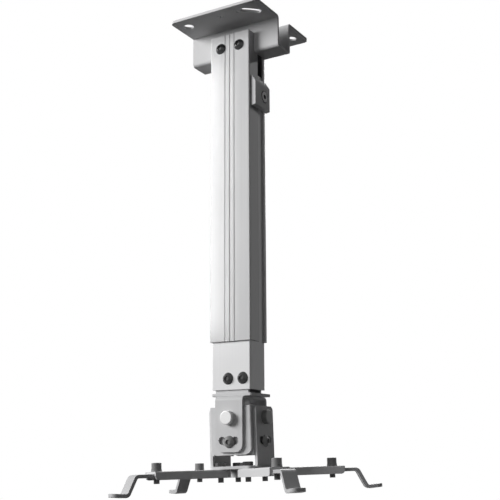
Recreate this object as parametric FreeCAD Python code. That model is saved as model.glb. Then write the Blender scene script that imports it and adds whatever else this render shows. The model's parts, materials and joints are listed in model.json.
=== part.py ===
import FreeCAD, Part
import math
import os

Vec = FreeCAD.Vector

# Adjustable ceiling mount for a projector, in millimetres, +Z up.
# The origin is the middle of the bracket's upper face, where it meets the ceiling.
# X runs along the bracket, -Y is the front of the column.

# Ceiling bracket, one folded sheet
SHEET = 2.5
BRACKET_LENGTH = 96.0
BRACKET_DEPTH = 104.0
CHANNEL_WIDTH = 24.0
CHANNEL_HEIGHT = 32.0
FOLD_RADIUS = 1.5
BRACKET_FOLD = 0.8
CORNER_RADIUS = 5.0
CEILING_SCREW_RADIUS = 2.3
CEILING_SCREW_X = (2.0, 21.0)
CEILING_SCREW_Y = 40.0
CEILING_HOLE_RADIUS = 5.0
CEILING_HOLE_X = 36.0
CEILING_HOLE_Y = 37.5
ARC_SLOT_RADIUS = 49.0
ARC_SLOT_WIDTH = 7.0
ARC_SLOT_FROM = -55.0
ARC_SLOT_TO = -40.0

# Column: a slotted outer extrusion and a closed inner tube
OUTER_WIDTH = 43.0
OUTER_DEPTH = 30.0
OUTER_SIDE_WALL = 1.5
OUTER_FACE_WALL = 2.0
OUTER_LENGTH = 296.0
COLUMN_TOP_Z = -12.0
NOTCH_GAP = 0.3
SLIDE_GAP = 0.05
INNER_WALL = 1.5
INNER_TOP_DROP = 40.0
INNER_SHOWN = 43.0
SIDE_SLOT_WIDTH = 10.0
SIDE_SLOT_OFFSET = 6.0
GROOVE_WIDTH = 1.0
GROOVE_DEPTH = 0.5
GROOVE_PITCH = 5.0
TUBE_CORNER = 1.2
TUBE_INSIDE_CORNER = 0.5

# Column bolts, front to back
COLUMN_BOLT_RISE = 7.0
COLUMN_BOLT_PITCH = 20.4
COLUMN_BOLT_TAIL = 1.0
SPACER_WALL = 1.0

# Height lock on the side of the inner tube
LOCK_PLATE_HEIGHT = 31.0
LOCK_PLATE_DROP = 60.5
LOCK_PLATE_THICKNESS = 4.3
LOCK_PLATE_DEPTH = 27.0
LOCK_PLATE_GAP = 1.0
LOCK_PLATE_SET_BACK = 1.0
LOCK_SCREW_DROP = 2.7
LOCK_SCREW_OFFSET = -1.5
LOCK_SLOPE_TOP = 7.0
LOCK_SLOPE_LOW = 0.8
LOCK_RECESS = 2.6
LOCK_RECESS_GAP = 0.6
LOCK_SCREW_HEAD = 3.0
LOCK_PAD_GAP = 0.3
LOCK_PAD_END = 2.0
LOCK_NUT_PLATE = 4.0
LOCK_NUT_FRONT = 6.5
LOCK_NUT_BACK = 5.0
LOCK_NUT_HEIGHT = 18.0

# Stem bracket that hangs the head from the inner tube
STEM_THICKNESS = 2.5
STEM_EAR_WIDTH = 34.0
STEM_EAR_HEIGHT = 30.0
STEM_GAP = 0.1
STEM_DROP = 3.0
STEM_PLATE_LENGTH = 43.0
STEM_PLATE_DEPTH = 34.0
STEM_PLATE_CORNER = 3.0
STEM_BOLT_X = 4.5
STEM_BOLT_PITCH = 15.2
STEM_BOLT_RISE = 10.0
STEM_NUT_PLATE = 5.0
STEM_NUT_MARGIN = 5.5

# Head
HEAD_Y = -1.0
YOKE_THICKNESS = 2.5
PLATE_GAP = 0.05
UPPER_EAR_WIDTH = 28.0
UPPER_YOKE_DEPTH = 43.0
UPPER_EAR_DROP = 48.5
UPPER_EAR_CORNER = 7.0
PIVOT_DROP = 16.5
LOCK_RADIUS = 20.8
LOCK_SLOT_HALF_ANGLE = 19.0
LOCK_SLOT_WIDTH = 6.8
BOX_LENGTH = 43.0
BOX_RISE = 10.0
BOX_DROP = 32.0
BOX_CORNER = 8.0
BOX_FOLD = 2.0
EAR_GAP = 0.1
LOWER_EAR_DEPTH = 30.0
LOWER_EAR_RISE = 9.0
LOWER_EAR_CORNER = 3.0
LOWER_BASE_DROP = 41.4
ROLL_SET = -2.0

# Fasteners, metric sizes
M6_RADIUS = 3.0
M6_HOLE = 3.3
M6_FLATS = 10.0
M6_NUT = 5.0
M6_THIN_NUT = 3.2
DOME_RADIUS = 5.4
DOME_HEAD = 3.4
DOME_FLAT = 0.3
DOME_SOCKET = 4.0
PIVOT_HOLE = 3.05
PIVOT_HEAD_RADIUS = 6.1
PIVOT_HEAD = 5.0
PIVOT_RIM = 0.9
M8_RADIUS = 4.0
M8_HOLE = 4.05
M8_FLATS = 13.0
M8_HEAD = 2.6
M8_NUT = 6.5
M8_WASHER_RADIUS = 8.0
M8_WASHER = 1.2
HEAD_ROOM = 0.5
M5_RADIUS = 2.5
M5_FLATS = 8.0
M5_HEAD = 3.5
M5_NUT = 4.0
M5_CAP_RADIUS = 4.25
M5_CAP = 5.0
M5_CAP_SOCKET = 4.0
CAP_RIM = 0.5
M5_WASHER_RADIUS = 4.6
M5_WASHER = 1.0
SOCKET_SHARE = 0.55
M5_PIVOT_HOLE = 2.55
BOLT_TAIL = 1.5

# Arms under the lower yoke
ARM_WIDTH = 18.0
ARM_HEIGHT = 7.0
ARM_SHEET = 2.0
ARM_PIVOT_X = 14.0
ARM_PIVOT_Y = 14.5
ARM_END = 6.0
ARM_END_CORNER = 3.5
ARM_RIM = 1.4
ARM_SLOT_REACH = 64.5
ARM_SLOT_TRAVEL = 36.0
ARM_SLOT_WIDTH = 5.4
ARM_SLOT_SPARE = 0.5
ARM_GAP = 0.05
HUB_TAIL = 5.0
ARM_ANGLES = {"right": 32.0, "left": 246.0, "front": -38.0, "back": 162.0}
BASE_MARGIN = 7.5
BASE_CORNER = 4.0

# Claws at the arm ends, guided by the arms' skirts
CLAW_SIDE_GAP = 0.5
CLAW_THICKNESS = 3.0
CLAW_TAIL = 7.0
CLAW_TAIL_CORNER = 5.0
CLAW_REACH = 22.0
CLAW_RUN = 8.0
CLAW_DROP = 15.4
CLAW_TAB = 13.5
CLAW_TAB_RISE = 5.0
CLAW_FOLD = 2.0
CLAW_HOLE_RADIUS = 2.25
CLAW_HOLE_FROM_TIP = 6.0
CLAW_GAP = 0.05
CLAW_BOLT_TAIL = 5.0
CLAW_SETBACKS = {"right": 4.5, "left": 0.0, "front": 0.0, "back": 8.5}
SPRING_WASHER = 1.2
SPRING_WASHER_RADIUS = 4.4
SPRING_WASHER_SPLIT = 0.8

# Derived positions
COLUMN_BACK_Y = CHANNEL_WIDTH / 2 - SHEET
COLUMN_Y = COLUMN_BACK_Y - OUTER_DEPTH / 2
COLUMN_FRONT_Y = COLUMN_Y - OUTER_DEPTH / 2
INNER_WIDTH = OUTER_WIDTH - 2 * OUTER_SIDE_WALL - 2 * SLIDE_GAP
INNER_DEPTH = OUTER_DEPTH - 2 * OUTER_FACE_WALL - 2 * SLIDE_GAP
OUTER_BOTTOM_Z = COLUMN_TOP_Z - OUTER_LENGTH
INNER_TOP_Z = COLUMN_TOP_Z - INNER_TOP_DROP
INNER_BOTTOM_Z = OUTER_BOTTOM_Z - INNER_SHOWN
COLUMN_BOLT_Z = COLUMN_BOLT_RISE - CHANNEL_HEIGHT
LOCK_PLATE_Z = COLUMN_TOP_Z - LOCK_PLATE_DROP
LOCK_SCREW_Z = LOCK_PLATE_Z - LOCK_SCREW_DROP
SLOT_Y = COLUMN_Y + SIDE_SLOT_OFFSET
LOCK_SCREW_Y = SLOT_Y + LOCK_SCREW_OFFSET
STEM_PLATE_TOP_Z = INNER_BOTTOM_Z - STEM_DROP
STEM_PLATE_BOTTOM_Z = STEM_PLATE_TOP_Z - STEM_THICKNESS
STEM_BOLT_Z = INNER_BOTTOM_Z + STEM_BOLT_RISE
YOKE_TOP_Z = STEM_PLATE_BOTTOM_Z - PLATE_GAP
PIVOT_Z = YOKE_TOP_Z - YOKE_THICKNESS - PIVOT_DROP
BOX_DEPTH = UPPER_YOKE_DEPTH - 2 * YOKE_THICKNESS - 2 * EAR_GAP
LOWER_YOKE_GAP = BOX_LENGTH + 2 * EAR_GAP
BASE_TOP_Z = PIVOT_Z - LOWER_BASE_DROP
BASE_BOTTOM_Z = BASE_TOP_Z - YOKE_THICKNESS
ARM_TOP_Z = BASE_BOTTOM_Z - ARM_GAP
ARM_WEB_Z = ARM_TOP_Z - ARM_SHEET
CLAW_TOP_Z = ARM_WEB_Z - CLAW_GAP
CLAW_WIDTH = ARM_WIDTH - 2 * ARM_SHEET - 2 * CLAW_SIDE_GAP
ARM_PIVOTS = {
    "right": (ARM_PIVOT_X, ARM_PIVOT_Y),
    "left": (-ARM_PIVOT_X, -ARM_PIVOT_Y),
    "front": (ARM_PIVOT_X, -ARM_PIVOT_Y),
    "back": (-ARM_PIVOT_X, ARM_PIVOT_Y),
}
CLAW_PLACES = {name: ARM_SLOT_REACH - back for name, back in CLAW_SETBACKS.items()}


def box(x0, x1, y0, y1, z0, z1):
    return Part.makeBox(x1 - x0, y1 - y0, z1 - z0, Vec(x0, y0, z0))


def rod(radius, start, direction, length):
    return Part.makeCylinder(radius, length, Vec(*start), Vec(*direction))


def frame_of(direction):
    # two unit vectors square to the direction
    d = Vec(*direction).normalize()
    side = Vec(0, 0, 1) if abs(d.z) < 0.9 else Vec(0, 1, 0)
    u = side.cross(d).normalize()
    return d, u, d.cross(u)


def hexagon(flats, start, direction, length, bore=0.0, turn=0.0):
    d, u, v = frame_of(direction)
    radius = flats / math.sqrt(3)
    points = []
    for i in range(7):
        a = math.radians(60 * i + 30 + turn)
        points.append(Vec(*start) + u * (radius * math.cos(a)) + v * (radius * math.sin(a)))
    solid = Part.Face(Part.makePolygon(points)).extrude(d * length)
    # the corners are turned off at 30 degrees, as on a real nut
    slope = math.tan(math.radians(30))
    big = radius * 1.001
    small = flats / 2 * 0.97
    depth = (big - small) * slope
    start_v = Vec(*start)
    first = Part.makeCone(small, big, depth, start_v, d)
    middle = Part.makeCylinder(big, length - 2 * depth, start_v + d * depth, d)
    last = Part.makeCone(big, small, depth, start_v + d * (length - depth), d)
    solid = solid.common(first.fuse(middle).fuse(last).removeSplitter())
    if bore:
        solid = solid.cut(Part.makeCylinder(bore, length, start_v, d))
    return solid


def ring(outer, inner, start, direction, length):
    return rod(outer, start, direction, length).cut(rod(inner, start, direction, length))


def shift(start, direction, distance):
    d = Vec(*direction).normalize()
    return tuple(Vec(*start) + d * distance)


def hex_bolt(radius, flats, head, start, direction, grip):
    # start is where the head bears, direction runs down the shank
    top = hexagon(flats, start, tuple(Vec(*direction) * -1), head)
    return top.fuse(rod(radius, start, direction, grip)).removeSplitter()


def round_bolt(radius, head_radius, head, start, direction, grip, rim, socket=0.0):
    # cylinder head with a rounded rim, with a hexagon socket of that size across flats or plain
    back = tuple(Vec(*direction) * -1)
    top = rod(head_radius, start, back, head)
    crown = Vec(*shift(start, back, head))
    rims = [e for e in top.Edges if e.Closed and (e.CenterOfMass - crown).Length < 0.01]
    top = top.makeFillet(rim, rims)
    if socket:
        top = top.cut(hexagon(socket, shift(start, back, head * (1 - SOCKET_SHARE)), back, head))
    return top.fuse(rod(radius, start, direction, grip)).removeSplitter()


def dome_bolt(start, direction, grip):
    # M6 screw with a low domed head, flat round its hexagon socket
    back = tuple(Vec(*direction) * -1)
    ball_radius = (DOME_RADIUS ** 2 + DOME_HEAD ** 2) / (2 * DOME_HEAD)
    ball = Part.makeSphere(ball_radius, Vec(*shift(start, back, DOME_HEAD - ball_radius)))
    top = rod(DOME_RADIUS, start, back, DOME_HEAD - DOME_FLAT).common(ball)
    top = top.cut(hexagon(DOME_SOCKET, shift(start, back, DOME_HEAD * (1 - SOCKET_SHARE)), back, DOME_HEAD))
    return top.fuse(rod(M6_RADIUS, start, direction, grip)).removeSplitter()


def nut(radius, flats, height, start, direction):
    return hexagon(flats, start, direction, height, bore=radius)


def folded(points, thickness, radius, width_start, width_end, plane):
    # a sheet that follows a centre line with rounded folds, extruded across its width
    def at(p, w):
        if plane == "YZ":
            return Vec(w, p[0], p[1])
        return Vec(p[0], w, p[1])

    half = thickness / 2
    middle = radius + half
    left = []
    right = []
    n = len(points)
    for i, p in enumerate(points):
        if i in (0, n - 1):
            q = points[1] if i == 0 else points[n - 2]
            sign = 1 if i == 0 else -1
            dx = (q[0] - p[0]) * sign
            dy = (q[1] - p[1]) * sign
            size = math.hypot(dx, dy)
            nx, ny = -dy / size, dx / size
            left.append([(p[0] + nx * half, p[1] + ny * half)])
            right.append([(p[0] - nx * half, p[1] - ny * half)])
            continue
        a = points[i - 1]
        b = points[i + 1]
        d1 = ((p[0] - a[0]), (p[1] - a[1]))
        s1 = math.hypot(*d1)
        d1 = (d1[0] / s1, d1[1] / s1)
        d2 = ((b[0] - p[0]), (b[1] - p[1]))
        s2 = math.hypot(*d2)
        d2 = (d2[0] / s2, d2[1] / s2)
        cross = d1[0] * d2[1] - d1[1] * d2[0]
        turn = math.atan2(cross, d1[0] * d2[0] + d1[1] * d2[1])
        side = 1 if cross > 0 else -1
        back = middle * math.tan(abs(turn) / 2)
        t1 = (p[0] - d1[0] * back, p[1] - d1[1] * back)
        n1 = (-d1[1], d1[0])
        n2 = (-d2[1], d2[0])
        centre = (t1[0] + n1[0] * middle * side, t1[1] + n1[1] * middle * side)
        mid_n = ((n1[0] + n2[0]), (n1[1] + n2[1]))
        size = math.hypot(*mid_n)
        mid_n = (mid_n[0] / size, mid_n[1] / size)
        for store, offset in ((left, half), (right, -half)):
            r = middle - offset * side
            arc = []
            for m in (n1, mid_n, n2):
                arc.append((centre[0] - m[0] * r * side, centre[1] - m[1] * r * side))
            store.append(arc)
    edges = []

    def chain(rows, start):
        last = start
        for row in rows:
            if last is not None and math.hypot(row[0][0] - last[0], row[0][1] - last[1]) > 1e-6:
                edges.append(Part.makeLine(at(last, width_start), at(row[0], width_start)))
            if len(row) == 3:
                edges.append(Part.Arc(*[at(q, width_start) for q in row]).toShape())
            last = row[-1]
        return last

    first = left[0][0]
    last = chain(left, None)
    back_rows = [list(reversed(row)) for row in reversed(right)]
    last = chain(back_rows, last)
    edges.append(Part.makeLine(at(last, width_start), at(first, width_start)))
    face = Part.Face(Part.Wire(Part.__sortEdges__(edges)))
    width = width_end - width_start
    run = Vec(width, 0, 0) if plane == "YZ" else Vec(0, width, 0)
    return face.extrude(run)


def plan_plate(length, depth, z0, z1, corner, centre=(0.0, 0.0)):
    x, y = centre
    plate = box(x - length / 2, x + length / 2, y - depth / 2, y + depth / 2, z0, z1)
    return plate.makeFillet(corner, edges_along(plate, (0, 0, 1)))


def arc_slot(radius, width, from_deg, to_deg, start, direction, length, zero):
    # a curved slot: a ring sector with round ends, about an axis
    d = Vec(*direction).normalize()
    u = Vec(*zero).normalize()
    v = d.cross(u)
    centre = Vec(*start)

    def at(r, deg):
        a = math.radians(deg)
        return centre + u * (r * math.cos(a)) + v * (r * math.sin(a))

    mid = (from_deg + to_deg) / 2
    out_r = radius + width / 2
    in_r = radius - width / 2
    edges = [
        Part.Arc(at(out_r, from_deg), at(out_r, mid), at(out_r, to_deg)).toShape(),
        Part.makeLine(at(out_r, to_deg), at(in_r, to_deg)),
        Part.Arc(at(in_r, to_deg), at(in_r, mid), at(in_r, from_deg)).toShape(),
        Part.makeLine(at(in_r, from_deg), at(out_r, from_deg)),
    ]
    sector = Part.Face(Part.Wire(edges)).extrude(d * length)
    for deg in (from_deg, to_deg):
        sector = sector.fuse(Part.makeCylinder(width / 2, length, at(radius, deg), d))
    return sector.removeSplitter()


def group(solids):
    return Part.makeCompound(solids)


def edges_along(shape, axis, test=None):
    # the shape's edges that run along an axis and pass a test of their middle
    chosen = []
    for edge in shape.Edges:
        run = edge.tangentAt(edge.FirstParameter)
        if abs(run.dot(Vec(*axis))) > 0.9 and (test is None or test(edge.CenterOfMass)):
            chosen.append(edge)
    return chosen


def near(a, b):
    return abs(a - b) < 0.01


def ceiling_bracket():
    half = BRACKET_DEPTH / 2
    wall = CHANNEL_WIDTH / 2 - SHEET / 2
    top = -SHEET / 2
    low = -CHANNEL_HEIGHT + SHEET / 2
    line = [(-half, top), (-wall, top), (-wall, low), (wall, low), (wall, top), (half, top)]
    sheet = folded(line, SHEET, BRACKET_FOLD, -BRACKET_LENGTH / 2, BRACKET_LENGTH / 2, "YZ")
    sheet = sheet.common(plan_plate(BRACKET_LENGTH, BRACKET_DEPTH, -CHANNEL_HEIGHT, 0.0, CORNER_RADIUS))
    # notch for the column in the front web and the channel floor
    reach = OUTER_WIDTH / 2 + NOTCH_GAP
    sheet = sheet.cut(box(-reach, reach, -CHANNEL_WIDTH, COLUMN_BACK_Y, -CHANNEL_HEIGHT - 1, COLUMN_TOP_Z))
    for side in (1, -1):
        for x in CEILING_SCREW_X:
            hole = (x, -CEILING_SCREW_Y * side, -SHEET)
            sheet = sheet.cut(rod(CEILING_SCREW_RADIUS, hole, (0, 0, 1), SHEET))
        hole = (-CEILING_HOLE_X * side, -CEILING_HOLE_Y * side, -SHEET)
        sheet = sheet.cut(rod(CEILING_HOLE_RADIUS, hole, (0, 0, 1), SHEET))
        sheet = sheet.cut(arc_slot(ARC_SLOT_RADIUS, ARC_SLOT_WIDTH, ARC_SLOT_FROM, ARC_SLOT_TO,
                                   (0, 0, -SHEET), (0, 0, 1), SHEET, (side, 0, 0)))
    for x in column_bolt_xs():
        sheet = sheet.cut(rod(M6_HOLE, (x, 0, COLUMN_BOLT_Z), (0, 1, 0), CHANNEL_WIDTH))
    return sheet.removeSplitter()


def column_bolt_xs():
    return (-COLUMN_BOLT_PITCH / 2, COLUMN_BOLT_PITCH / 2)


def stem_bolt_xs():
    return (STEM_BOLT_X - STEM_BOLT_PITCH / 2, STEM_BOLT_X + STEM_BOLT_PITCH / 2)


def tube(width, depth, side_wall, face_wall, z0, z1, corner):
    outside = plan_plate(width, depth, z0, z1, corner, (0.0, COLUMN_Y))
    inside = plan_plate(width - 2 * side_wall, depth - 2 * face_wall, z0 - 1, z1 + 1, TUBE_INSIDE_CORNER,
                        (0.0, COLUMN_Y))
    return outside.cut(inside)


def outer_tube():
    z0 = OUTER_BOTTOM_Z
    body = tube(OUTER_WIDTH, OUTER_DEPTH, OUTER_SIDE_WALL, OUTER_FACE_WALL, z0, COLUMN_TOP_Z, TUBE_CORNER)
    half = SIDE_SLOT_WIDTH / 2
    inside = OUTER_WIDTH / 2 - OUTER_SIDE_WALL
    body = body.cut(box(inside - 0.02, OUTER_WIDTH, SLOT_Y - half, SLOT_Y + half, z0 - 1, COLUMN_TOP_Z + 1))
    for i in (-1, 0, 1):
        x0 = i * GROOVE_PITCH - GROOVE_WIDTH / 2
        body = body.cut(box(x0, x0 + GROOVE_WIDTH, COLUMN_FRONT_Y - 1, COLUMN_FRONT_Y + GROOVE_DEPTH,
                            z0 - 1, COLUMN_TOP_Z + 1))
    for x in column_bolt_xs():
        body = body.cut(rod(M6_HOLE, (x, COLUMN_FRONT_Y - 1, COLUMN_BOLT_Z), (0, 1, 0), OUTER_DEPTH + 2))
    return body.removeSplitter()


def column_bolts():
    grip = OUTER_DEPTH + SHEET + M6_THIN_NUT + COLUMN_BOLT_TAIL
    return group([dome_bolt((x, COLUMN_FRONT_Y, COLUMN_BOLT_Z), (0, 1, 0), grip) for x in column_bolt_xs()])


def column_nuts():
    starts = [(x, CHANNEL_WIDTH / 2, COLUMN_BOLT_Z) for x in column_bolt_xs()]
    return group([nut(M6_RADIUS, M6_FLATS, M6_THIN_NUT, start, (0, 1, 0)) for start in starts])


def column_spacers():
    # sleeves that stop the bolts from crushing the extrusion
    y = COLUMN_FRONT_Y + OUTER_FACE_WALL
    length = OUTER_DEPTH - 2 * OUTER_FACE_WALL
    outer = M6_HOLE + SPACER_WALL
    return group([ring(outer, M6_HOLE, (x, y, COLUMN_BOLT_Z), (0, 1, 0), length) for x in column_bolt_xs()])


def inner_tube():
    body = tube(INNER_WIDTH, INNER_DEPTH, INNER_WALL, INNER_WALL, INNER_BOTTOM_Z, INNER_TOP_Z, TUBE_CORNER)
    body = body.cut(rod(M6_HOLE, (0, LOCK_SCREW_Y, LOCK_SCREW_Z), (1, 0, 0), OUTER_WIDTH))
    for x in stem_bolt_xs():
        body = body.cut(rod(M6_HOLE, (x, COLUMN_FRONT_Y, STEM_BOLT_Z), (0, 1, 0), OUTER_DEPTH / 2))
    return body.removeSplitter()


def lock_plate():
    # outer clamp with a raised pad that rides in the column's side slot
    half = LOCK_PLATE_HEIGHT / 2
    x0 = OUTER_WIDTH / 2 + LOCK_PLATE_GAP
    x1 = x0 + LOCK_PLATE_THICKNESS
    y0 = COLUMN_Y + LOCK_PLATE_SET_BACK - LOCK_PLATE_DEPTH / 2
    y1 = y0 + LOCK_PLATE_DEPTH
    z0 = LOCK_PLATE_Z - half
    z1 = LOCK_PLATE_Z + half
    points = [
        Vec(x0, y0, z0),
        Vec(x1, y0, z0 + LOCK_SLOPE_LOW),
        Vec(x1, y0, z1 - LOCK_SLOPE_TOP),
        Vec(x0, y0, z1),
        Vec(x0, y0, z0),
    ]
    body = Part.Face(Part.makePolygon(points)).extrude(Vec(0, y1 - y0, 0))
    pad_half = SIDE_SLOT_WIDTH / 2 - LOCK_PAD_GAP
    pad_x0 = OUTER_WIDTH / 2 - OUTER_SIDE_WALL - SLIDE_GAP
    body = body.fuse(box(pad_x0, x0 + 1, SLOT_Y - pad_half, SLOT_Y + pad_half,
                         z0 + LOCK_PAD_END, z1 - LOCK_PAD_END))
    body = body.cut(rod(M6_HOLE, (0, LOCK_SCREW_Y, LOCK_SCREW_Z), (1, 0, 0), OUTER_WIDTH))
    seat = (x1 - LOCK_RECESS, LOCK_SCREW_Y, LOCK_SCREW_Z)
    body = body.cut(rod(DOME_RADIUS + LOCK_RECESS_GAP, seat, (1, 0, 0), LOCK_PLATE_THICKNESS))
    return body.removeSplitter()


def lock_screw():
    x = OUTER_WIDTH / 2 + LOCK_PLATE_GAP + LOCK_PLATE_THICKNESS - LOCK_RECESS
    inside = OUTER_WIDTH / 2 - OUTER_SIDE_WALL - SLIDE_GAP - INNER_WALL
    grip = x - inside + LOCK_NUT_PLATE + BOLT_TAIL
    start = (x, LOCK_SCREW_Y, LOCK_SCREW_Z)
    return round_bolt(M6_RADIUS, DOME_RADIUS, LOCK_SCREW_HEAD, start, (-1, 0, 0), grip, PIVOT_RIM,
                      DOME_SOCKET)


def lock_nut():
    # square nut plate inside the inner tube
    x1 = OUTER_WIDTH / 2 - OUTER_SIDE_WALL - SLIDE_GAP - INNER_WALL
    half = LOCK_NUT_HEIGHT / 2
    body = box(x1 - LOCK_NUT_PLATE, x1, LOCK_SCREW_Y - LOCK_NUT_FRONT, LOCK_SCREW_Y + LOCK_NUT_BACK,
               LOCK_SCREW_Z - half, LOCK_SCREW_Z + half)
    return body.cut(rod(M6_RADIUS, (0, LOCK_SCREW_Y, LOCK_SCREW_Z), (1, 0, 0), OUTER_WIDTH))


def stem_bracket():
    # welded plate with two ears that stand inside the inner tube
    plate = plan_plate(STEM_PLATE_LENGTH, STEM_PLATE_DEPTH, STEM_PLATE_BOTTOM_Z, STEM_PLATE_TOP_Z,
                       STEM_PLATE_CORNER, (0.0, HEAD_Y))
    reach = INNER_DEPTH / 2 - INNER_WALL - STEM_GAP
    for side in (-1, 1):
        a = COLUMN_Y + side * reach
        b = COLUMN_Y + side * (reach - STEM_THICKNESS)
        ear = box(-STEM_EAR_WIDTH / 2, STEM_EAR_WIDTH / 2, min(a, b), max(a, b), STEM_PLATE_TOP_Z - 0.5,
                  STEM_PLATE_TOP_Z + STEM_EAR_HEIGHT)
        plate = plate.fuse(ear)
    for x in stem_bolt_xs():
        plate = plate.cut(rod(M6_HOLE, (x, COLUMN_FRONT_Y, STEM_BOLT_Z), (0, 1, 0), OUTER_DEPTH / 2))
    plate = plate.cut(rod(M8_RADIUS, (0, HEAD_Y, STEM_PLATE_BOTTOM_Z), (0, 0, 1), STEM_THICKNESS))
    # room for the swivel bolt's head at the foot of the rear ear
    head = M8_FLATS / math.sqrt(3) + HEAD_ROOM
    plate = plate.cut(rod(head, (0, HEAD_Y, STEM_PLATE_TOP_Z), (0, 0, 1), M8_HEAD + HEAD_ROOM))
    return plate.removeSplitter()


def stem_bolts():
    front = COLUMN_Y - INNER_DEPTH / 2
    grip = INNER_WALL + STEM_GAP + STEM_THICKNESS + STEM_NUT_PLATE + BOLT_TAIL
    return group([dome_bolt((x, front, STEM_BOLT_Z), (0, 1, 0), grip) for x in stem_bolt_xs()])


def stem_nut_plate():
    # tapped strip behind the front ear, inside the inner tube
    y = COLUMN_Y - INNER_DEPTH / 2 + INNER_WALL + STEM_GAP + STEM_THICKNESS
    low, high = stem_bolt_xs()
    margin = STEM_NUT_MARGIN
    strip = box(low - margin, high + margin, y, y + STEM_NUT_PLATE,
                STEM_BOLT_Z - margin, STEM_BOLT_Z + margin)
    for x in (low, high):
        strip = strip.cut(rod(M6_RADIUS, (x, y, STEM_BOLT_Z), (0, 1, 0), STEM_NUT_PLATE))
    return strip


def swivel_bolt():
    grip = STEM_THICKNESS + YOKE_THICKNESS + 2 * PLATE_GAP + M8_WASHER + M8_NUT + BOLT_TAIL
    return hex_bolt(M8_RADIUS, M8_FLATS, M8_HEAD, (0, HEAD_Y, STEM_PLATE_TOP_Z), (0, 0, -1), grip)


def swivel_washer():
    z = YOKE_TOP_Z - YOKE_THICKNESS - PLATE_GAP
    return ring(M8_WASHER_RADIUS, M8_RADIUS, (0, HEAD_Y, z), (0, 0, -1), M8_WASHER)


def swivel_nut():
    z = YOKE_TOP_Z - YOKE_THICKNESS - PLATE_GAP - M8_WASHER
    return nut(M8_RADIUS, M8_FLATS, M8_NUT, (0, HEAD_Y, z), (0, 0, -1))


def upper_yoke():
    half = UPPER_YOKE_DEPTH / 2 - YOKE_THICKNESS / 2
    top = YOKE_TOP_Z - YOKE_THICKNESS / 2
    low = YOKE_TOP_Z - UPPER_EAR_DROP
    line = [(HEAD_Y - half, low), (HEAD_Y - half, top), (HEAD_Y + half, top), (HEAD_Y + half, low)]
    wide = UPPER_EAR_WIDTH / 2
    body = folded(line, YOKE_THICKNESS, FOLD_RADIUS, -wide, wide, "YZ")
    corners = edges_along(body, (0, 1, 0), lambda p: near(p.z, low) and near(abs(p.x), wide))
    body = body.makeFillet(UPPER_EAR_CORNER, corners)
    start = (0, HEAD_Y - UPPER_YOKE_DEPTH, PIVOT_Z)
    body = body.cut(rod(PIVOT_HOLE, start, (0, 1, 0), 2 * UPPER_YOKE_DEPTH))
    body = body.cut(arc_slot(LOCK_RADIUS, LOCK_SLOT_WIDTH, -LOCK_SLOT_HALF_ANGLE, LOCK_SLOT_HALF_ANGLE,
                             start, (0, 1, 0), 2 * UPPER_YOKE_DEPTH, (0, 0, -1)))
    below = YOKE_TOP_Z - YOKE_THICKNESS - 1
    body = body.cut(rod(M8_HOLE, (0, HEAD_Y, below), (0, 0, 1), YOKE_THICKNESS + 2))
    return body.removeSplitter()


def tilt_box():
    z0 = PIVOT_Z - BOX_DROP
    z1 = PIVOT_Z + BOX_RISE
    body = plan_plate(BOX_LENGTH, BOX_DEPTH, z0, z1, BOX_FOLD, (0.0, HEAD_Y))
    wide = BOX_LENGTH / 2 - YOKE_THICKNESS
    deep = BOX_DEPTH / 2 - YOKE_THICKNESS
    body = body.cut(box(-wide, wide, HEAD_Y - deep, HEAD_Y + deep, z0 - 1, z1 + 1))
    # lower corners of the front and back walls are rounded
    for side in (-1, 1):
        x_in = side * (BOX_LENGTH / 2 - BOX_CORNER)
        x_out = side * (BOX_LENGTH / 2 + 1)
        front = HEAD_Y - BOX_DEPTH
        block = box(min(x_in, x_out), max(x_in, x_out), front, HEAD_Y + BOX_DEPTH, z0 - 1, z0 + BOX_CORNER)
        block = block.cut(rod(BOX_CORNER, (x_in, front, z0 + BOX_CORNER), (0, 1, 0), 2 * BOX_DEPTH))
        side_wall = box(-BOX_LENGTH, BOX_LENGTH, HEAD_Y - deep, HEAD_Y + deep, z0 - 2, z0 + BOX_CORNER + 1)
        body = body.cut(block.cut(side_wall))
    for z in (PIVOT_Z, PIVOT_Z - LOCK_RADIUS):
        body = body.cut(rod(M6_RADIUS, (0, HEAD_Y - BOX_DEPTH, z), (0, 1, 0), 2 * BOX_DEPTH))
        body = body.cut(rod(M6_RADIUS, (-BOX_LENGTH, HEAD_Y, z), (1, 0, 0), 2 * BOX_LENGTH))
    return rolled(body.removeSplitter())


def rolled(shape):
    # everything below the roll axis is trimmed level with a small set angle
    shape = shape.copy()
    shape.rotate(Vec(0, HEAD_Y, PIVOT_Z), Vec(0, 1, 0), ROLL_SET)
    return shape


def head_fasteners(axis, drop, kind):
    # one fastener on each side of the head, outside in
    solids = []
    grip = YOKE_THICKNESS * 2 + EAR_GAP + M6_NUT + BOLT_TAIL
    for side in (-1, 1):
        if axis == "roll":
            start = (0, HEAD_Y + side * UPPER_YOKE_DEPTH / 2, PIVOT_Z - drop)
            run = (0, -side, 0)
        else:
            start = (side * (LOWER_YOKE_GAP / 2 + YOKE_THICKNESS), HEAD_Y, PIVOT_Z - drop)
            run = (-side, 0, 0)
        wall = shift(start, run, YOKE_THICKNESS * 2 + EAR_GAP)
        if kind == "pivot":
            solids.append(round_bolt(M6_RADIUS, PIVOT_HEAD_RADIUS, PIVOT_HEAD, start, run, grip, PIVOT_RIM))
        elif kind == "lock":
            solids.append(dome_bolt(start, run, grip))
        else:
            solids.append(nut(M6_RADIUS, M6_FLATS, M6_NUT, wall, run))
    return rolled(group(solids))


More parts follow.
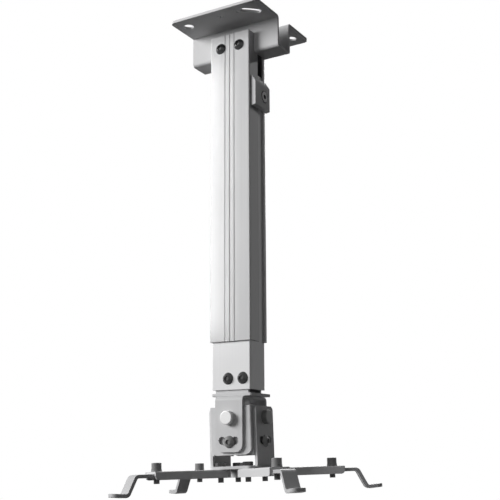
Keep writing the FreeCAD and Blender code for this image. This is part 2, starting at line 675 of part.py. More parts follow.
def lower_yoke():
    half = LOWER_YOKE_GAP / 2 + YOKE_THICKNESS / 2
    top = PIVOT_Z + LOWER_EAR_RISE
    base = BASE_TOP_Z - YOKE_THICKNESS / 2
    line = [(-half, top), (-half, base), (half, base), (half, top)]
    y0 = HEAD_Y - LOWER_EAR_DEPTH / 2
    y1 = HEAD_Y + LOWER_EAR_DEPTH / 2
    body = folded(line, YOKE_THICKNESS, FOLD_RADIUS, y0, y1, "XZ")
    corners = edges_along(body, (1, 0, 0), lambda p: near(p.z, top))
    body = body.makeFillet(LOWER_EAR_CORNER, corners)
    # the base is wider than the ears so that the four arm bolts clear them
    wing = ARM_PIVOT_Y + BASE_MARGIN
    length = 2 * (ARM_PIVOT_X + BASE_MARGIN)
    base_plate = plan_plate(length, 2 * wing, BASE_BOTTOM_Z, BASE_TOP_Z, BASE_CORNER, (0.0, HEAD_Y))
    body = body.fuse(base_plate)
    start = (-2 * half, HEAD_Y, PIVOT_Z)
    body = body.cut(rod(PIVOT_HOLE, start, (1, 0, 0), 4 * half))
    body = body.cut(arc_slot(LOCK_RADIUS, LOCK_SLOT_WIDTH, -LOCK_SLOT_HALF_ANGLE, LOCK_SLOT_HALF_ANGLE,
                             start, (1, 0, 0), 4 * half, (0, 0, -1)))
    for x, y in ARM_PIVOTS.values():
        body = body.cut(rod(M5_RADIUS, (x, HEAD_Y + y, BASE_BOTTOM_Z - 1), (0, 0, 1), YOKE_THICKNESS + 2))
    return rolled(body.removeSplitter())


def hub_bolts():
    grip = YOKE_THICKNESS + ARM_GAP + ARM_SHEET + ARM_GAP + M5_NUT + HUB_TAIL
    starts = [(x, HEAD_Y + y, BASE_TOP_Z) for x, y in ARM_PIVOTS.values()]
    bolts = [hex_bolt(M5_RADIUS, M5_FLATS, M5_HEAD, start, (0, 0, -1), grip) for start in starts]
    return rolled(group(bolts))


def hub_nuts():
    starts = [(x, HEAD_Y + y, ARM_WEB_Z - ARM_GAP) for x, y in ARM_PIVOTS.values()]
    return rolled(group([nut(M5_RADIUS, M5_FLATS, M5_NUT, start, (0, 0, -1)) for start in starts]))


def placed_on_arm(shape, name):
    # from an arm that points along +X at the origin to its place under the yoke
    x, y = ARM_PIVOTS[name]
    shape = shape.copy()
    shape.rotate(Vec(0, 0, 0), Vec(0, 0, 1), ARM_ANGLES[name])
    shape.translate(Vec(x, HEAD_Y + y, 0))
    return rolled(shape)


def slotted_arm(name):
    z0 = ARM_TOP_Z - ARM_HEIGHT
    length = ARM_SLOT_REACH + ARM_END
    half = ARM_WIDTH / 2

    def outline(inset, a, b):
        r = half - inset
        straight = box(0, length, -r, r, a, b)
        return straight.fuse(rod(r, (0, 0, a), (0, 0, 1), b - a))

    body = outline(0, z0, ARM_TOP_Z)
    rims = [e for e in body.Edges if near(e.CenterOfMass.z, ARM_TOP_Z) and e.CenterOfMass.x < length - 1]
    body = body.makeFillet(ARM_RIM, rims)
    # the channel is open below and at its outer end, where the claw leaves it
    hollow = outline(ARM_SHEET, z0 - 1, ARM_WEB_Z)
    body = body.cut(hollow).cut(box(0, length + 1, ARM_SHEET - half, half - ARM_SHEET, z0 - 1, ARM_WEB_Z))
    tips = edges_along(body, (0, 1, 0), lambda p: near(p.z, z0) and near(p.x, length))
    body = body.makeFillet(ARM_END_CORNER, tips)
    body = body.cut(rod(M5_PIVOT_HOLE, (0, 0, z0 - 1), (0, 0, 1), ARM_HEIGHT + 2))
    slot_half = ARM_SLOT_WIDTH / 2
    inner = ARM_SLOT_REACH - ARM_SLOT_TRAVEL - ARM_SLOT_SPARE
    outer = ARM_SLOT_REACH + ARM_SLOT_SPARE
    slot = box(inner, outer, -slot_half, slot_half, z0 - 1, ARM_TOP_Z + 1)
    for x in (inner, outer):
        slot = slot.fuse(rod(slot_half, (x, 0, z0 - 1), (0, 0, 1), ARM_HEIGHT + 2))
    return placed_on_arm(body.cut(slot).removeSplitter(), name)


def claw(name):
    # Z-shaped strip: a run inside the arm, a riser and a foot with a screw hole
    top = CLAW_TOP_Z - CLAW_THICKNESS / 2
    x = CLAW_PLACES[name]
    bend_x = x + CLAW_REACH
    foot_x = bend_x + CLAW_RUN
    foot_z = top - CLAW_DROP
    tip_x = foot_x + CLAW_TAB
    tip_z = foot_z + CLAW_TAB * math.tan(math.radians(CLAW_TAB_RISE))
    line = [(x - CLAW_TAIL, top), (bend_x, top), (foot_x, foot_z), (tip_x, tip_z)]
    half = CLAW_WIDTH / 2
    body = folded(line, CLAW_THICKNESS, CLAW_FOLD, -half, half, "XZ")
    plan = box(x - CLAW_TAIL, tip_x, -half, half, foot_z - CLAW_DROP, top + CLAW_DROP)
    plan = plan.makeFillet(CLAW_TAIL_CORNER, edges_along(plan, (0, 0, 1)))
    body = body.common(plan)
    # tapped for the bolt that clamps it to the arm
    body = body.cut(rod(M5_RADIUS, (x, 0, top - CLAW_THICKNESS), (0, 0, 1), 2 * CLAW_THICKNESS))
    rise = math.radians(CLAW_TAB_RISE)
    up = (-math.sin(rise), 0, math.cos(rise))
    hole_x = tip_x - CLAW_HOLE_FROM_TIP * math.cos(rise)
    hole_z = tip_z - CLAW_HOLE_FROM_TIP * math.sin(rise)
    start = shift((hole_x, 0, hole_z), up, -CLAW_THICKNESS)
    body = body.cut(rod(CLAW_HOLE_RADIUS, start, up, 2 * CLAW_THICKNESS))
    return placed_on_arm(body.removeSplitter(), name)


def claw_bolt(name):
    head_z = ARM_TOP_Z + ARM_GAP + M5_WASHER + SPRING_WASHER
    grip = head_z - CLAW_TOP_Z + CLAW_THICKNESS + CLAW_BOLT_TAIL
    start = (CLAW_PLACES[name], 0, head_z)
    bolt = round_bolt(M5_RADIUS, M5_CAP_RADIUS, M5_CAP, start, (0, 0, -1), grip, CAP_RIM, M5_CAP_SOCKET)
    return placed_on_arm(bolt, name)


def claw_washer(name):
    start = (CLAW_PLACES[name], 0, ARM_TOP_Z + ARM_GAP)
    return placed_on_arm(ring(M5_WASHER_RADIUS, M5_RADIUS, start, (0, 0, 1), M5_WASHER), name)


def claw_spring_washer(name):
    x = CLAW_PLACES[name]
    z = ARM_TOP_Z + ARM_GAP + M5_WASHER
    coil = ring(SPRING_WASHER_RADIUS, M5_RADIUS, (x, 0, z), (0, 0, 1), SPRING_WASHER)
    half = SPRING_WASHER_SPLIT / 2
    split = box(x, x + 2 * SPRING_WASHER_RADIUS, -half, half, z, z + SPRING_WASHER)
    return placed_on_arm(coil.cut(split), name)


def save(name, shape):
    if not shape.isValid() or not shape.Solids:
        raise RuntimeError("bad shape: " + name)
    shape.exportStep("parts/" + name + ".step")
    print(name, len(shape.Solids), round(shape.Volume, 1))


def main():
    os.makedirs("parts", exist_ok=True)
    save("ceiling_bracket", ceiling_bracket())
    save("outer_tube", outer_tube())
    save("column_bolts", column_bolts())
    save("column_spacers", column_spacers())
    save("column_nuts", column_nuts())
    save("inner_tube", inner_tube())
    save("lock_plate", lock_plate())
    save("lock_screw", lock_screw())
    save("lock_nut", lock_nut())
    save("stem_bracket", stem_bracket())
    save("stem_bolts", stem_bolts())
    save("stem_nut_plate", stem_nut_plate())
    save("swivel_bolt", swivel_bolt())
    save("swivel_washer", swivel_washer())
    save("swivel_nut", swivel_nut())
    save("upper_yoke", upper_yoke())
    save("tilt_box", tilt_box())
    save("roll_pivot_bolts", head_fasteners("roll", 0.0, "pivot"))
    save("roll_pivot_nuts", head_fasteners("roll", 0.0, "nut"))
    save("roll_lock_bolts", head_fasteners("roll", LOCK_RADIUS, "lock"))
    save("roll_lock_nuts", head_fasteners("roll", LOCK_RADIUS, "nut"))
    save("lower_yoke", lower_yoke())
    save("pitch_pivot_bolts", head_fasteners("pitch", 0.0, "pivot"))
    save("pitch_pivot_nuts", head_fasteners("pitch", 0.0, "nut"))
    save("pitch_lock_bolts", head_fasteners("pitch", LOCK_RADIUS, "lock"))
    save("pitch_lock_nuts", head_fasteners("pitch", LOCK_RADIUS, "nut"))
    save("hub_bolts", hub_bolts())
    save("hub_nuts", hub_nuts())
    for name in ARM_ANGLES:
        save("arm_" + name, slotted_arm(name))
        save("claw_" + name, claw(name))
        save("claw_bolt_" + name, claw_bolt(name))
        save("claw_washer_" + name, claw_washer(name))
        save("claw_spring_washer_" + name, claw_spring_washer(name))


main()
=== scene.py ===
import json
import math

import bmesh
import bpy
from mathutils import Matrix, Vector


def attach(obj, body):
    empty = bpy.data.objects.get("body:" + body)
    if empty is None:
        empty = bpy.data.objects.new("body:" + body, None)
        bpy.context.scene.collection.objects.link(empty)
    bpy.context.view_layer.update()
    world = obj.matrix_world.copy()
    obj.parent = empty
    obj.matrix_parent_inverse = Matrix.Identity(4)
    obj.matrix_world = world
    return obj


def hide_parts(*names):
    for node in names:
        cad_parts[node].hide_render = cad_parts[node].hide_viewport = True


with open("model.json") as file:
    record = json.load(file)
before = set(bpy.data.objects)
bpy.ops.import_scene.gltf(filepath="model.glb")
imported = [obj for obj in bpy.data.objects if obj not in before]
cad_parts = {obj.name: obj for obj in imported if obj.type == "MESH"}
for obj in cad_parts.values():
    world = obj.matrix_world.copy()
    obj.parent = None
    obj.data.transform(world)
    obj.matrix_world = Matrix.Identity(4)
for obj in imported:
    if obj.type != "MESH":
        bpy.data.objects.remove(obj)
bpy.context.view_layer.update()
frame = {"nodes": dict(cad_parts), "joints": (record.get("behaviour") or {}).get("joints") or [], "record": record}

# A ceiling mount for a projector: a column of two tubes, a tilting head and four arms with claws.
# Lengths are in metres, and the ceiling is at height 0.
MM = 0.001

# Nodes of the CAD that share a treatment
ARMS = ["right", "left", "front", "back"]
SHEET_NODES = ["stem_nut_plate", "ceiling_bracket", "stem_bracket", "upper_yoke", "tilt_box",
               "lower_yoke", "lock_plate"]
SHEET_NODES += ["arm_" + arm for arm in ARMS]
SHEET_NODES += ["claw_" + arm for arm in ARMS]
TUBE_NODES = ["outer_tube", "inner_tube"]
SMALL_NODES = ["lock_nut", "swivel_washer"]
SMALL_NODES += ["claw_washer_" + arm for arm in ARMS]
# A darker copy of the zinc: painted shade on the pivot and lock bolts of the right ear, which stands in shade, and
# a duller zinc on the roll lock bolts and claw fasteners
DULL_AND_SHADED_NODES = ["roll_lock_bolts", "pitch_pivot_bolts", "pitch_lock_bolts"]
DULL_AND_SHADED_NODES += ["claw_bolt_" + arm for arm in ARMS]
DULL_AND_SHADED_NODES += ["claw_washer_" + arm for arm in ARMS]
DULL_AND_SHADED_NODES += ["claw_spring_washer_" + arm for arm in ARMS]

# Camera, at the photograph's viewing angle
CAMERA_PLACE = Vector((0.4425, -0.7284, -0.4115))
CAMERA_YAW = math.radians(30.737)
CAMERA_PITCH = math.radians(12.614)
CAMERA_ROLL = math.radians(-0.281)
FOCAL_PIXELS = 937.5
IMAGE_PIXELS = 500
SENSOR_WIDTH = 36.0
CLIP_NEAR = 0.01
CLIP_FAR = 50.0

# Floor and world. SEEN is what the camera and reflections show, and SCATTER is what lights the mount.
FLOOR_Z = -1.5
FLOOR_RADIUS = 4.5
FLOOR_SIDES = 128
FLOOR_SEEN = (0.86, 0.86, 0.86, 1)
FLOOR_SCATTER = (0.03, 0.03, 0.03, 1)
FLOOR_LIFT = 0.42
FLOOR_ROUGHNESS = 0.9
WORLD_SEEN = (1.0, 1.0, 1.0, 1)
WORLD_SCATTER = (0.05, 0.05, 0.051, 1)

# Soft lamps, each with its width and height, and its power in watts
LAMPS = {
    "key": {"place": (-1.526, -1.292, 0.42), "aim": (0.0, 0.0, 0.42), "size": (1.25, 0.9), "power": 58.5},
    "front": {"place": (-0.1, -2.2, 0.3), "aim": (0.0, 0.0, -0.25), "size": (0.9, 0.7), "power": 3.0},
    "back": {"place": (-0.7, 2.2, 0.9), "aim": (0.0, 0.0, -0.25), "size": (1.0, 1.0), "power": 28.0},
}

# Colours, scene linear
BRACKET_GREY = (0.64, 0.64, 0.645)
COLUMN_GREY = (0.62, 0.62, 0.625)
# A lighter grey than the column's: the inner tube's own aluminium with painted light added, making up for the
# lamps lighting the lower tube less
INNER_GREY = (0.84, 0.84, 0.845)
LOCK_GREY = (0.58, 0.58, 0.585)
HEAD_GREY = (0.60, 0.60, 0.605)
ARM_GREY = (0.60, 0.60, 0.605)
CLAW_GREY = (0.46, 0.46, 0.465)
BRIGHT_ZINC = (0.80, 0.80, 0.80)
# A darker copy of the bright zinc: painted shade on the right ear's pivot and lock bolts, a duller zinc on the
# other fasteners
DULL_AND_SHADED_ZINC = (0.20, 0.20, 0.20)
# Near black on the domed screws: painted shade, standing in for the dark surroundings their shiny zinc heads
# reflect; their highlight is lamp light
SCREW_SHADE_BLACK = (0.020, 0.020, 0.021)
# Dark grey inside the outer tube's bore: painted shade for the deep hollow
BORE_SHADE_GREY = (0.16, 0.16, 0.162)

# Grain: its scale along X, Y and Z, small where it runs long, and the noise that makes it
EVEN = (1.0, 1.0, 1.0)
DRAWN = (1.0, 1.0, 0.012)
FINE_DETAIL = 4.0
FINE_ROUGHNESS = 0.6
BROAD_SCALE = 14.0
BROAD_DETAIL = 2.0
BROAD_SHARE = 0.5
NOISE_LOW = 0.3
NOISE_HIGH = 0.7
BUMP_HEIGHT = 0.08 * MM

# Widths of broken edges, and the angles that tell a flat from a curve and a curve from an edge
SHEET_EDGE = 0.35 * MM
TUBE_EDGE = 0.25 * MM
SMALL_EDGE = 0.18 * MM
EDGE_STEPS = 2
FLAT_ANGLE = math.radians(0.8)
EDGE_ANGLE = math.radians(35)
FLATS_WEIGHT = 50
MERGE_REACH = 0.001 * MM

# Walls of the outer tube, and how far outside its bore a face may lie and still count as inside
OUTER_SIDE_WALL = 1.5 * MM
OUTER_FACE_WALL = 2.0 * MM
BORE_MARGIN = 0.05 * MM

# Threads: radius and pitch of each size, and the length made on the tail of each bolt
M5 = (2.5 * MM, 0.8 * MM)
M6 = (3.0 * MM, 1.0 * MM)
M8 = (4.0 * MM, 1.25 * MM)
CLAW_THREAD = 4.6 * MM
HUB_THREAD = 4.6 * MM
COLUMN_THREAD = 0.9 * MM
STEM_THREAD = 1.4 * MM
SWIVEL_THREAD = 1.4 * MM
TIP_DEPTH = 0.01 * MM

# Steps in a thread's turn and corners of its ridge. The other three are shares of its pitch.
TURN_STEPS = 14
RIDGE_CORNERS = 4
RIDGE_RADIUS = 0.36
RIDGE_SUNK = 0.2
TIP_GAP = 0.3


def make_camera():
    yaw_cos, yaw_sin = math.cos(CAMERA_YAW), math.sin(CAMERA_YAW)
    right = Vector((yaw_cos, yaw_sin, 0))
    level = Vector((-yaw_sin, yaw_cos, 0))
    upward = Vector((0, 0, 1))
    ahead = level * math.cos(CAMERA_PITCH) + upward * math.sin(CAMERA_PITCH)
    head = upward * math.cos(CAMERA_PITCH) - level * math.sin(CAMERA_PITCH)
    x_axis = right * math.cos(CAMERA_ROLL) + head * math.sin(CAMERA_ROLL)
    y_axis = head * math.cos(CAMERA_ROLL) - right * math.sin(CAMERA_ROLL)
    data = bpy.data.cameras.new("camera")
    data.sensor_width = SENSOR_WIDTH
    data.lens = FOCAL_PIXELS / IMAGE_PIXELS * SENSOR_WIDTH
    data.clip_start = CLIP_NEAR
    data.clip_end = CLIP_FAR
    camera = bpy.data.objects.new("camera", data)
    turn = Matrix((x_axis, y_axis, -ahead)).transposed()
    camera.matrix_world = Matrix.Translation(CAMERA_PLACE) @ turn.to_4x4()
    bpy.context.scene.collection.objects.link(camera)
    bpy.context.scene.camera = camera


def soft_lamp(name, place, aim, size, power):
    data = bpy.data.lights.new(name, "AREA")
    data.shape = "RECTANGLE"
    data.size, data.size_y = size
    data.energy = power
    lamp = bpy.data.objects.new(name, data)
    turn = (Vector(aim) - Vector(place)).to_track_quat("-Z", "Y").to_matrix()
    lamp.matrix_world = Matrix.Translation(place) @ turn.to_4x4()
    bpy.context.scene.collection.objects.link(lamp)


def seen_directly(tree):
    """1 for what the camera, a reflection or clear material shows, and 0 for light that only scatters."""
    path = tree.nodes.new("ShaderNodeLightPath")
    seen = tree.nodes.new("ShaderNodeMath")
    seen.operation = "MAXIMUM"
    through = tree.nodes.new("ShaderNodeMath")
    through.operation = "MAXIMUM"
    tree.links.new(path.outputs["Is Camera Ray"], seen.inputs[0])
    tree.links.new(path.outputs["Is Glossy Ray"], seen.inputs[1])
    tree.links.new(seen.outputs[0], through.inputs[0])
    tree.links.new(path.outputs["Is Transmission Ray"], through.inputs[1])
    return through.outputs[0]


def make_world():
    world = bpy.data.worlds.new("studio")
    world.use_nodes = True
    tree = world.node_tree
    tree.nodes.clear()
    out = tree.nodes.new("ShaderNodeOutputWorld")
    mix = tree.nodes.new("ShaderNodeMixShader")
    dim = tree.nodes.new("ShaderNodeBackground")
    dim.inputs["Color"].default_value = WORLD_SCATTER
    white = tree.nodes.new("ShaderNodeBackground")
    white.inputs["Color"].default_value = WORLD_SEEN
    tree.links.new(seen_directly(tree), mix.inputs["Fac"])
    tree.links.new(dim.outputs[0], mix.inputs[1])
    tree.links.new(white.outputs[0], mix.inputs[2])
    tree.links.new(mix.outputs[0], out.inputs["Surface"])
    bpy.context.scene.world = world


def make_floor():
    """A round floor, wide enough that its rim stays out of the camera's view."""
    mesh = bpy.data.meshes.new("floor")
    turns = [2 * math.pi * side / FLOOR_SIDES for side in range(FLOOR_SIDES)]
    rim = [(FLOOR_RADIUS * math.cos(turn), FLOOR_RADIUS * math.sin(turn), FLOOR_Z) for turn in turns]
    mesh.from_pydata(rim, [], [tuple(range(FLOOR_SIDES))])
    floor = bpy.data.objects.new("floor", mesh)
    bpy.context.scene.collection.objects.link(floor)
    paint = bpy.data.materials.new("pale_floor")
    paint.use_nodes = True
    tree = paint.node_tree
    shader = tree.nodes["Principled BSDF"]
    pale = tree.nodes.new("ShaderNodeMix")
    pale.data_type = "RGBA"
    pale.inputs["A"].default_value = FLOOR_SCATTER
    pale.inputs["B"].default_value = FLOOR_SEEN
    seen = seen_directly(tree)
    tree.links.new(seen, pale.inputs["Factor"])
    tree.links.new(pale.outputs["Result"], shader.inputs["Base Color"])
    lift = tree.nodes.new("ShaderNodeMath")
    lift.operation = "MULTIPLY"
    lift.inputs[1].default_value = FLOOR_LIFT
    tree.links.new(seen, lift.inputs[0])
    shader.inputs["Emission Color"].default_value = WORLD_SEEN
    tree.links.new(lift.outputs[0], shader.inputs["Emission Strength"])
    shader.inputs["Roughness"].default_value = FLOOR_ROUGHNESS
    mesh.materials.append(paint)


def surface(name, colour, roughness, spread, grain, bump, shade, gloss_level, metallic=0.0, stretch=EVEN):
    """A metal finish. Its grain varies the colour by shade, the roughness by spread, and the height."""
    paint = bpy.data.materials.new(name)
    paint.use_nodes = True
    nodes = paint.node_tree.nodes
    links = paint.node_tree.links
    shader = nodes["Principled BSDF"]
    shader.inputs["Metallic"].default_value = metallic
    shader.inputs["Specular IOR Level"].default_value = gloss_level
    place = nodes.new("ShaderNodeTexCoord")
    mapping = nodes.new("ShaderNodeMapping")
    mapping.inputs["Scale"].default_value = stretch
    links.new(place.outputs["Object"], mapping.inputs["Vector"])
    fine = nodes.new("ShaderNodeTexNoise")
    fine.inputs["Scale"].default_value = grain
    fine.inputs["Detail"].default_value = FINE_DETAIL
    fine.inputs["Roughness"].default_value = FINE_ROUGHNESS
    links.new(mapping.outputs["Vector"], fine.inputs["Vector"])
    broad = nodes.new("ShaderNodeTexNoise")
    broad.inputs["Scale"].default_value = BROAD_SCALE
    broad.inputs["Detail"].default_value = BROAD_DETAIL
    links.new(place.outputs["Object"], broad.inputs["Vector"])
    blend = nodes.new("ShaderNodeMix")
    blend.data_type = "FLOAT"
    blend.inputs["Factor"].default_value = BROAD_SHARE
    links.new(fine.outputs["Fac"], blend.inputs["A"])
    links.new(broad.outputs["Fac"], blend.inputs["B"])
    tone = nodes.new("ShaderNodeMix")
    tone.data_type = "RGBA"
    tone.inputs["A"].default_value = tuple(part * (1 - shade) for part in colour) + (1,)
    tone.inputs["B"].default_value = tuple(min(1.0, part * (1 + shade)) for part in colour) + (1,)
    links.new(blend.outputs["Result"], tone.inputs["Factor"])
    links.new(tone.outputs["Result"], shader.inputs["Base Color"])
    gloss = nodes.new("ShaderNodeMapRange")
    gloss.inputs["From Min"].default_value = NOISE_LOW
    gloss.inputs["From Max"].default_value = NOISE_HIGH
    gloss.inputs["To Min"].default_value = roughness - spread
    gloss.inputs["To Max"].default_value = roughness + spread
    links.new(fine.outputs["Fac"], gloss.inputs["Value"])
    links.new(gloss.outputs["Result"], shader.inputs["Roughness"])
    relief = nodes.new("ShaderNodeBump")
    relief.inputs["Strength"].default_value = bump
    relief.inputs["Distance"].default_value = BUMP_HEIGHT
    links.new(fine.outputs["Fac"], relief.inputs["Height"])
    links.new(relief.outputs["Normal"], shader.inputs["Normal"])
    return paint


def make_paints():
    """A finish for each material slot, and last the two that only some faces and fasteners have."""
    return {
        "bracket_steel": surface("satin_silver_coat", BRACKET_GREY, roughness=0.40, spread=0.05,
                                 grain=1400, bump=0.25, shade=0.06, gloss_level=0.04),
        "column_aluminium": surface("drawn_aluminium", COLUMN_GREY, roughness=0.11, spread=0.03,
                                    grain=560, bump=0.12, shade=0.10, gloss_level=0.38, stretch=DRAWN),
        # Its lighter grey is partly painted light, making up for the lamps lighting the lower tube less
        "inner_aluminium": surface("smooth_aluminium", INNER_GREY, roughness=0.12, spread=0.03,
                                   grain=700, bump=0.10, shade=0.07, gloss_level=0.40, stretch=DRAWN),
        "lock_steel": surface("lock_coat", LOCK_GREY, roughness=0.42, spread=0.05,
                              grain=1500, bump=0.3, shade=0.06, gloss_level=0.14),
        "head_steel": surface("head_coat", HEAD_GREY, roughness=0.40, spread=0.05,
                              grain=1400, bump=0.25, shade=0.06, gloss_level=0.14),
        "arm_steel": surface("arm_coat", ARM_GREY, roughness=0.42, spread=0.05,
                             grain=1400, bump=0.3, shade=0.06, gloss_level=0.45),
        "claw_steel": surface("claw_coat", CLAW_GREY, roughness=0.40, spread=0.05,
                              grain=1500, bump=0.3, shade=0.06, gloss_level=0.3),
        "zinc_steel": surface("bright_zinc", BRIGHT_ZINC, roughness=0.32, spread=0.06,
                              grain=2200, bump=0.2, shade=0.06, gloss_level=0.07, metallic=0.1),
        # Near-black screw heads: painted shade for the dark reflections of shiny zinc domes
        "dark_steel": surface("screw_shade_black", SCREW_SHADE_BLACK, roughness=0.22, spread=0.04,
                              grain=2200, bump=0.2, shade=0.2, gloss_level=0.5),
        # Painted shade inside the outer tube's bore
        "painted_bore_shade": surface("painted_bore_shade", BORE_SHADE_GREY, roughness=0.55, spread=0.05,
                               grain=900, bump=0.3, shade=0.1, gloss_level=0.04, stretch=DRAWN),
        # Darker zinc: painted shade on the shaded right ear's bolts, a duller zinc on the rest
        "dull_and_shaded_zinc": surface("dull_and_shaded_zinc", DULL_AND_SHADED_ZINC, roughness=0.34, spread=0.06,
                             grain=2200, bump=0.2, shade=0.1, gloss_level=0.3),
    }


def slots_by_node():
    return {row["node"]: row["material_slot"] for row in frame["record"]["subparts"]}


def body_of_node():
    bodies = frame["record"]["behaviour"]["bodies"]
    return {node: body for body, members in bodies.items() for node in members}


def finish_of(name, paints):
    """The finish of a CAD node: that of its material slot, but a darker zinc on some fasteners, painted shade on
    the bolts of the shaded right ear and a duller zinc on the claw fasteners and roll lock bolts.
    """
    return paints["dull_and_shaded_zinc" if name in DULL_AND_SHADED_NODES else slots_by_node()[name]]


def paint_nodes(paints):
    for name, node in frame["nodes"].items():
        node.data.materials.clear()
        node.data.materials.append(finish_of(name, paints))


def plain_mesh(work):
    """The evaluated object as a plain mesh, with its modifiers gone."""
    bpy.context.view_layer.update()
    graph = bpy.context.evaluated_depsgraph_get()
    mesh = bpy.data.meshes.new_from_object(work.evaluated_get(graph), depsgraph=graph)
    work.modifiers.clear()
    work.data = mesh
    return work


def softened(name, edge, paints):
    """A copy of a CAD node whose sharp folds and rims are broken, as on deburred metal."""
    source = frame["nodes"][name]
    mesh = bpy.data.meshes.new(name + "_finished")
    work = bmesh.new()
    work.from_mesh(source.data)
    bmesh.ops.remove_doubles(work, verts=work.verts, dist=MERGE_REACH)
    bmesh.ops.dissolve_limit(work, angle_limit=FLAT_ANGLE, verts=work.verts, edges=work.edges)
    work.to_mesh(mesh)
    work.free()
    piece = bpy.data.objects.new(name + "_finished", mesh)
    bpy.context.scene.collection.objects.link(piece)
    for face in mesh.polygons:
        face.use_smooth = True
    bevel = piece.modifiers.new("rims", "BEVEL")
    bevel.width = edge
    bevel.segments = EDGE_STEPS
    bevel.limit_method = "ANGLE"
    bevel.angle_limit = EDGE_ANGLE
    bevel.use_clamp_overlap = True
    even = piece.modifiers.new("flats", "WEIGHTED_NORMAL")
    even.mode = "FACE_AREA"
    even.weight = FLATS_WEIGHT
    even.keep_sharp = True
    piece = plain_mesh(piece)
    piece.data.materials.clear()
    piece.data.materials.append(finish_of(name, paints))
    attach(piece, body_of_node()[name])
    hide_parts(name)
    return piece


def paint_bore_shade(tube, paints):
    """The bore of an extrusion is painted dark grey, a painted shade for its deep hollow: the faces on or within
    its inner walls.
    """
    places = [vert.co for vert in tube.data.vertices]
    low = Vector((min(place.x for place in places), min(place.y for place in places), 0))
    high = Vector((max(place.x for place in places), max(place.y for place in places), 0))
    middle = (low + high) / 2
    reach_x = (high.x - low.x) / 2 - OUTER_SIDE_WALL + BORE_MARGIN
    reach_y = (high.y - low.y) / 2 - OUTER_FACE_WALL + BORE_MARGIN
    # The faces within the bore take the painted shade
    tube.data.materials.append(paints["painted_bore_shade"])
    for face in tube.data.polygons:
        away = face.center - middle
        if abs(away.x) < reach_x and abs(away.y) < reach_y:
            face.material_index = 1


def thread_tree():
    """Geometry Nodes: a helical ridge of a given radius, pitch and length round +Z."""
    tree = bpy.data.node_groups.new("thread", "GeometryNodeTree")
    face = tree.interface
    for label in ("Radius", "Pitch", "Length"):
        face.new_socket(name=label, in_out="INPUT", socket_type="NodeSocketFloat")
    face.new_socket(name="Material", in_out="INPUT", socket_type="NodeSocketMaterial")
    face.new_socket(name="Geometry", in_out="OUTPUT", socket_type="NodeSocketGeometry")
    nodes = tree.nodes
    links = tree.links
    given = nodes.new("NodeGroupInput")
    out = nodes.new("NodeGroupOutput")
    turns = nodes.new("ShaderNodeMath")
    turns.operation = "DIVIDE"
    links.new(given.outputs["Length"], turns.inputs[0])
    links.new(given.outputs["Pitch"], turns.inputs[1])
    spiral = nodes.new("GeometryNodeCurveSpiral")
    spiral.inputs["Resolution"].default_value = TURN_STEPS
    links.new(turns.outputs[0], spiral.inputs["Rotations"])
    links.new(given.outputs["Radius"], spiral.inputs["Start Radius"])
    links.new(given.outputs["Radius"], spiral.inputs["End Radius"])
    links.new(given.outputs["Length"], spiral.inputs["Height"])
    ridge = nodes.new("ShaderNodeMath")
    ridge.operation = "MULTIPLY"
    ridge.inputs[1].default_value = RIDGE_RADIUS
    links.new(given.outputs["Pitch"], ridge.inputs[0])
    section = nodes.new("GeometryNodeCurvePrimitiveCircle")
    section.inputs["Resolution"].default_value = RIDGE_CORNERS
    links.new(ridge.outputs[0], section.inputs["Radius"])
    sweep = nodes.new("GeometryNodeCurveToMesh")
    sweep.inputs["Fill Caps"].default_value = True
    links.new(spiral.outputs["Curve"], sweep.inputs["Curve"])
    links.new(section.outputs["Curve"], sweep.inputs["Profile Curve"])
    real = nodes.new("GeometryNodeRealizeInstances")
    links.new(sweep.outputs["Mesh"], real.inputs["Geometry"])
    paint = nodes.new("GeometryNodeSetMaterial")
    links.new(real.outputs["Geometry"], paint.inputs["Geometry"])
    links.new(given.outputs["Material"], paint.inputs["Material"])
    links.new(paint.outputs["Geometry"], out.inputs["Geometry"])
    return tree


def thread(tree, radius, pitch, length, paint):
    """One thread as a plain mesh object, standing on the origin along +Z."""
    work = bpy.data.objects.new("thread", bpy.data.meshes.new("thread"))
    bpy.context.scene.collection.objects.link(work)
    modifier = work.modifiers.new("thread", "NODES")
    modifier.node_group = tree
    values = {"Radius": radius - RIDGE_SUNK * pitch, "Pitch": pitch, "Length": length, "Material": paint}
    for item in tree.interface.items_tree:
        if item.item_type == "SOCKET" and item.in_out == "INPUT":
            modifier[item.identifier] = values[item.name]
    return plain_mesh(work)


def solids_of(node):
    """The vertices of each separate solid of a node, joined up by shared places."""
    work = bmesh.new()
    work.from_mesh(frame["nodes"][node].data)
    bmesh.ops.remove_doubles(work, verts=work.verts, dist=MERGE_REACH)
    left = set(work.verts)
    groups = []
    while left:
        front = [left.pop()]
        group = [front[0].co.copy()]
        while front:
            vert = front.pop()
            for edge in vert.link_edges:
                other = edge.other_vert(vert)
                if other in left:
                    left.remove(other)
                    front.append(other)
                    group.append(other.co.copy())
        groups.append(group)
    work.free()
    return groups


def shank_end(points, axis):
    """Where a bolt's shank ends: its centre there, for a bolt whose shank points along axis."""
    far = max(point.dot(axis) for point in points)
    tip = [point for point in points if point.dot(axis) > far - TIP_DEPTH]
    return sum(tip, Vector()) / len(tip)


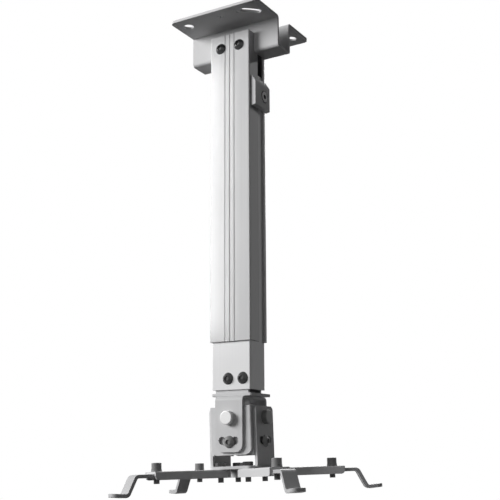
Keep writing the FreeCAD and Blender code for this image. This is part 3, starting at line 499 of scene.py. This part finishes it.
def threads_on(node, axis, length, size, tree, paints):
    """Threads on the tails of a node's bolts, one piece for the node."""
    radius, pitch = size
    finish = finish_of(node, paints)
    turn = axis.to_track_quat("Z", "Y").to_matrix().to_4x4()
    parts = []
    for points in solids_of(node):
        start = shank_end(points, axis) - axis * (length + TIP_GAP * pitch)
        part = thread(tree, radius, pitch, length, finish)
        part.data.transform(Matrix.Translation(start) @ turn)
        parts.append(part)
    whole = bmesh.new()
    for part in parts:
        whole.from_mesh(part.data)
    mesh = bpy.data.meshes.new(node + "_thread")
    whole.to_mesh(mesh)
    whole.free()
    for part in parts:
        bpy.data.objects.remove(part)
    mesh.materials.append(finish)
    piece = bpy.data.objects.new(node + "_thread", mesh)
    bpy.context.scene.collection.objects.link(piece)
    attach(piece, body_of_node()[node])


def make_threads(paints):
    """The bolts of the arms and claws point along the arms' swing axis, which tilts with the head."""
    tree = thread_tree()
    swing = next(joint for joint in frame["joints"] if joint["name"] == "arm_right_swing")
    out_of_head = -Vector(swing["axis"]).normalized()
    backward = Vector((0, 1, 0))
    downward = Vector((0, 0, -1))
    for arm in ARMS:
        threads_on("claw_bolt_" + arm, out_of_head, CLAW_THREAD, M5, tree, paints)
    threads_on("hub_bolts", out_of_head, HUB_THREAD, M5, tree, paints)
    threads_on("column_bolts", backward, COLUMN_THREAD, M6, tree, paints)
    threads_on("stem_bolts", backward, STEM_THREAD, M6, tree, paints)
    threads_on("swivel_bolt", downward, SWIVEL_THREAD, M8, tree, paints)


make_camera()
make_world()
make_floor()
for lamp_name, lamp_values in LAMPS.items():
    soft_lamp(lamp_name, **lamp_values)
paints = make_paints()
paint_nodes(paints)
for node_name in SHEET_NODES:
    softened(node_name, SHEET_EDGE, paints)
for node_name in TUBE_NODES:
    tube = softened(node_name, TUBE_EDGE, paints)
    if node_name == "outer_tube":
        paint_bore_shade(tube, paints)
for node_name in SMALL_NODES:
    softened(node_name, SMALL_EDGE, paints)
make_threads(paints)

bpy.context.scene.view_settings.view_transform = "Standard"
